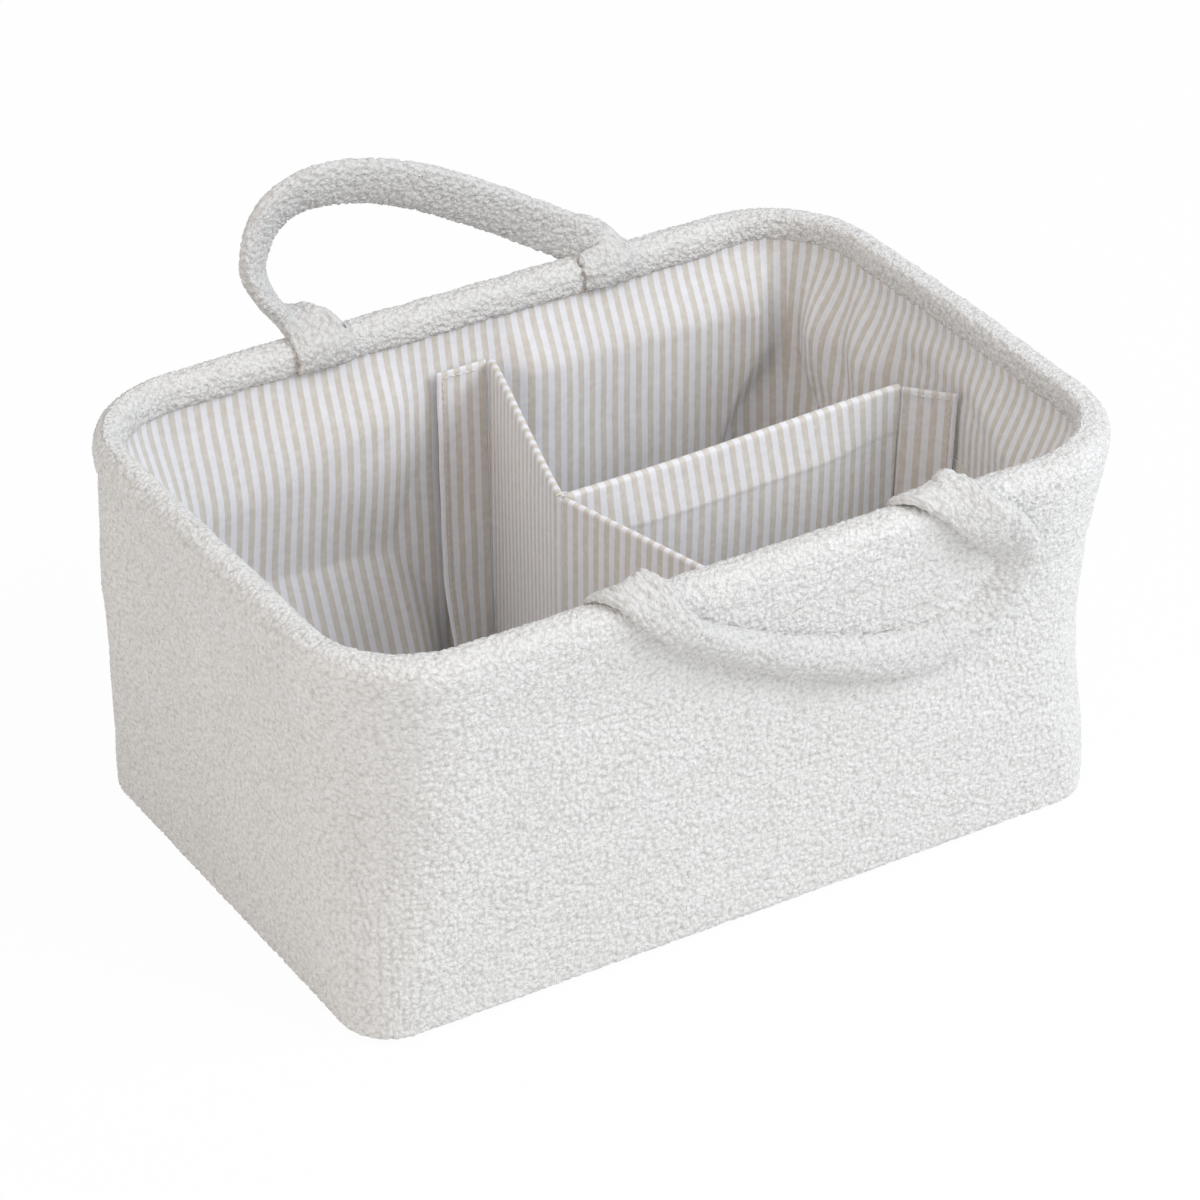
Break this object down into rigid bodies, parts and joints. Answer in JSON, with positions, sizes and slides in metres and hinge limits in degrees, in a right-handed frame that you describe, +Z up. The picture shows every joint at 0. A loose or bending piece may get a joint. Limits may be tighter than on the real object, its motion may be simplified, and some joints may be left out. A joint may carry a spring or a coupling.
{
  "type": "diaper caddy",
  "caption": "Soft rectangular caddy in curly fleece with a rolled wire rim, striped lining, padded strap handles and a lift-out divider of hinged panels.",
  "frame": {"origin": "middle of the underside, on the surface that the caddy stands on", "axes": "+Z up, +X along the long sides, handles on the walls that face -Y (front) and +Y (back)"},
  "size_m": [0.38, 0.2896, 0.2505],
  "materials": {
    "fleece": "curly looped fleece, warm off-white",
    "ticking": "woven cotton with even white and beige stripes",
    "stiffener": "plain board",
    "wire": "drawn spring wire",
    "wadding": "soft white filling",
    "tape": "hook and loop tape"
  },
  "bodies": {
    "box": {"base_cover": "fleece", "front_cover": "fleece", "back_cover": "fleece", "left_cover": "fleece", "right_cover": "fleece", "rim_roll": "fleece", "front_left_tab": "fleece", "front_right_tab": "fleece", "back_left_tab": "fleece", "back_right_tab": "fleece", "base_board": "stiffener", "front_board": "stiffener", "back_board": "stiffener", "left_board": "stiffener", "right_board": "stiffener", "rim_wire": "wire", "front_lining": "ticking", "back_lining": "ticking", "left_lining": "ticking", "right_lining": "ticking", "lining_floor": "ticking", "back_loop_tape": "tape", "front_loop_tape": "tape", "right_loop_tape": "tape"},
    "divider_spine": {"divider_seam": "ticking", "back_divider_cover": "ticking", "back_divider_board": "stiffener"},
    "front_panel": {"front_divider_cover": "ticking", "front_divider_board": "stiffener"},
    "long_panel": {"long_divider_cover": "ticking", "long_divider_board": "stiffener"},
    "back_end": {"back_flap": "ticking", "back_hook_tape": "tape"},
    "front_end": {"front_flap": "ticking", "front_hook_tape": "tape"},
    "right_end": {"right_flap": "ticking", "right_hook_tape": "tape"},
    "front_handle": {"front_handle_cover": "fleece", "front_handle_core": "wadding"},
    "back_handle": {"back_handle_cover": "fleece", "back_handle_core": "wadding"}
  },
  "joints": [
    {"name": "divider_lift", "type": "slide", "parent": "box", "child": "divider_spine", "axis": [0, 0, 1], "range_m": [0, 0.2]},
    {"name": "front_divider_swing", "type": "hinge", "parent": "divider_spine", "child": "front_panel", "pos_m": [-0.016, 0.004, 0.0789], "axis": [0, 0, 1], "range_deg": [0, 12]},
    {"name": "long_divider_swing", "type": "hinge", "parent": "divider_spine", "child": "long_panel", "pos_m": [-0.016, 0.004, 0.0789], "axis": [0, 0, 1], "range_deg": [-12, 12]},
    {"name": "back_flap_fold", "type": "hinge", "parent": "divider_spine", "child": "back_end", "pos_m": [0.00981, 0.10789, 0.0789], "axis": [0.0156, 0.0568, 0.9983], "range_deg": [0, 70]},
    {"name": "front_flap_fold", "type": "hinge", "parent": "front_panel", "child": "front_end", "pos_m": [0.0099, -0.10789, 0.0789], "axis": [-0.0145, 0.0568, -0.9983], "range_deg": [0, 70]},
    {"name": "right_flap_fold", "type": "hinge", "parent": "long_panel", "child": "right_end", "pos_m": [0.1508, 0.0014, 0.0789], "axis": [-0.0363, 0, -0.9993], "range_deg": [0, 125]},
    {"name": "front_handle_swing", "type": "hinge", "parent": "box", "child": "front_handle", "pos_m": [0.006, -0.1364, 0.177], "axis": [-1, 0, 0], "range_deg": [0, 188]},
    {"name": "back_handle_swing", "type": "hinge", "parent": "box", "child": "back_handle", "pos_m": [0.006, 0.1364, 0.177], "axis": [-1, 0, 0], "range_deg": [-6, 168]}
  ]
}
